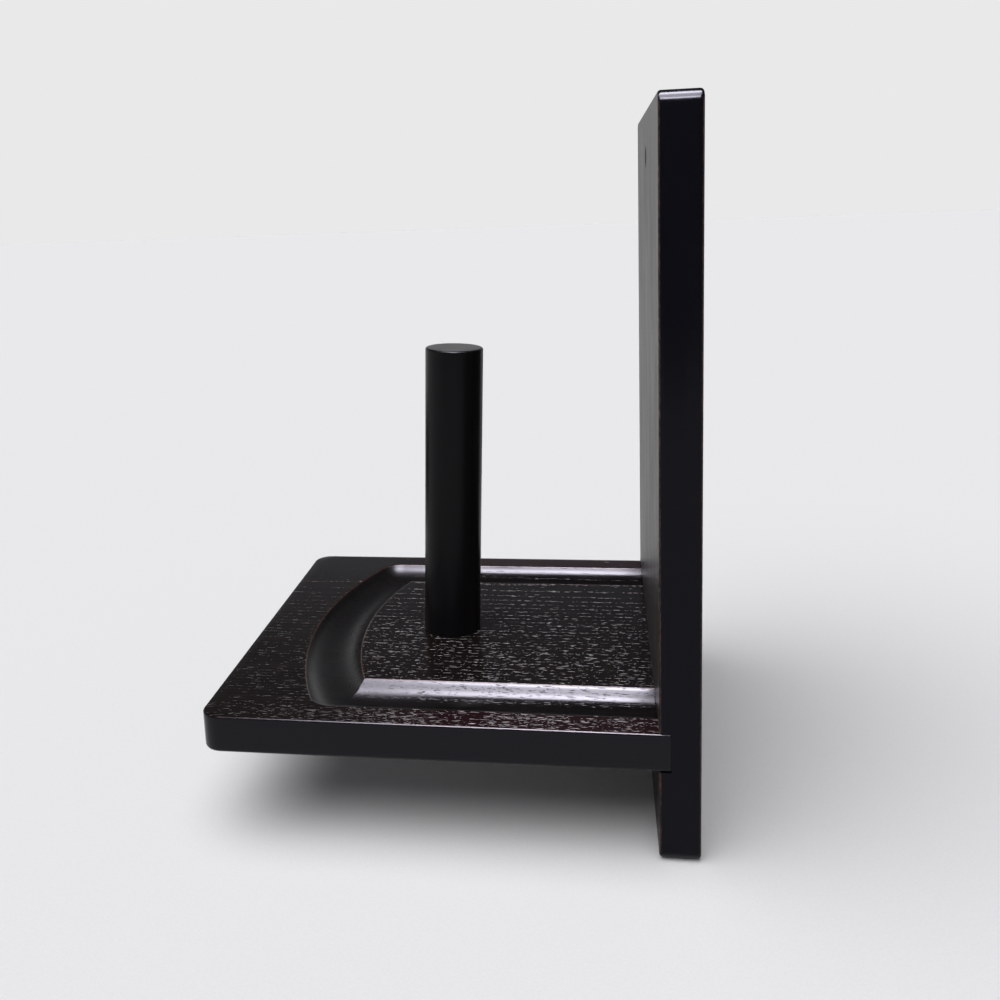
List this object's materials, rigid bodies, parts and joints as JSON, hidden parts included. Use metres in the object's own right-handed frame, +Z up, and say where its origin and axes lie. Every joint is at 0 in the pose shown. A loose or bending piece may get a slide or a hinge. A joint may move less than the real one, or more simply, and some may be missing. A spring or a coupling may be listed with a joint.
{
  "type": "paper towel holder",
  "caption": "Wall-mounted wooden paper towel holder: an upright backboard, a grooved shelf housed across it and a round post that stands inside the roll's core.",
  "frame": {"origin": "where the upper wall screw's axis meets the backboard's back face", "axes": "+Z up, +Y into the wall, +X along the shelf's width; the shelf reaches out towards -Y"},
  "size_m": [0.228, 0.2415, 0.3505],
  "materials": {
    "backboard_wood": "gloss",
    "shelf_wood": "gloss",
    "post_wood": "satin",
    "screw_steel": "satin"
  },
  "bodies": {
    "root": {"backboard": "backboard_wood", "shelf": "shelf_wood", "post": "post_wood", "shelf_screw_left": "screw_steel", "shelf_screw_middle": "screw_steel", "shelf_screw_right": "screw_steel", "post_screw": "screw_steel"}
  },
  "joints": []
}
